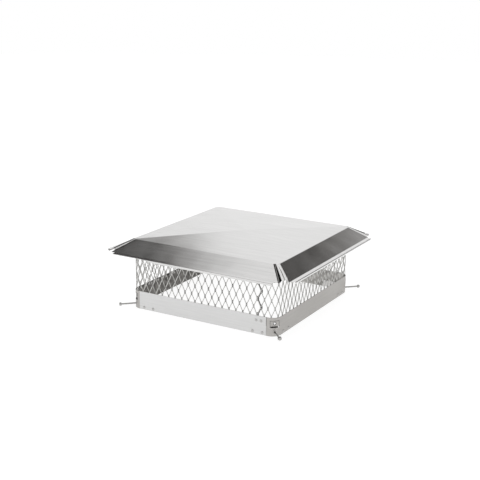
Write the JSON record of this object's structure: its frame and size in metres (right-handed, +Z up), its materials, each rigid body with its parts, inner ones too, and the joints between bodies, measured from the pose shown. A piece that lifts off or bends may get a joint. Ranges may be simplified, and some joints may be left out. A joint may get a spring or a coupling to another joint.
{
  "type": "chimney cap",
  "caption": "Square chimney cap: folded sheet lid with sloping skirts on an expanded-metal screen, with a low base band that clamps round a flue tile with screws.",
  "frame": {"origin": "middle of the base band's lower rim, where the flue tile enters", "axes": "+Z up to the lid; -Y is the side with both seams; +X is the side to its right; the clamp screws lie on the diagonals"},
  "size_m": [0.435, 0.435, 0.1545],
  "materials": {
    "lid": "satin stainless sheet",
    "screen": "bare expanded stainless",
    "band": "satin stainless strip",
    "bracket": "bare stainless strip",
    "fastener": "bright stainless"
  },
  "bodies": {
    "cap": {"lid": "lid", "mesh_screen": "screen", "base_band": "band", "clamp_bracket_front": "bracket", "clamp_bracket_right": "bracket", "clamp_bracket_back": "bracket", "clamp_bracket_left": "bracket", "clamp_nut_front": "fastener", "clamp_nut_right": "fastener", "clamp_nut_back": "fastener", "clamp_nut_left": "fastener", "lid_clip_front": "bracket", "lid_clip_right": "bracket", "lid_clip_back": "bracket", "lid_clip_left": "bracket"},
    "screw_front": {"clamp_screw_front": "fastener"},
    "screw_right": {"clamp_screw_right": "fastener"},
    "screw_back": {"clamp_screw_back": "fastener"},
    "screw_left": {"clamp_screw_left": "fastener"}
  },
  "joints": [
    {"name": "clamp_front", "type": "slide", "parent": "cap", "child": "screw_front", "axis": [-0.7071, 0.7071, 0], "range_m": [-0.006, 0.03]},
    {"name": "clamp_right", "type": "slide", "parent": "cap", "child": "screw_right", "axis": [-0.7071, -0.7071, 0], "range_m": [-0.006, 0.03]},
    {"name": "clamp_back", "type": "slide", "parent": "cap", "child": "screw_back", "axis": [0.7071, -0.7071, 0], "range_m": [-0.006, 0.03]},
    {"name": "clamp_left", "type": "slide", "parent": "cap", "child": "screw_left", "axis": [0.7071, 0.7071, 0], "range_m": [-0.006, 0.03]}
  ]
}
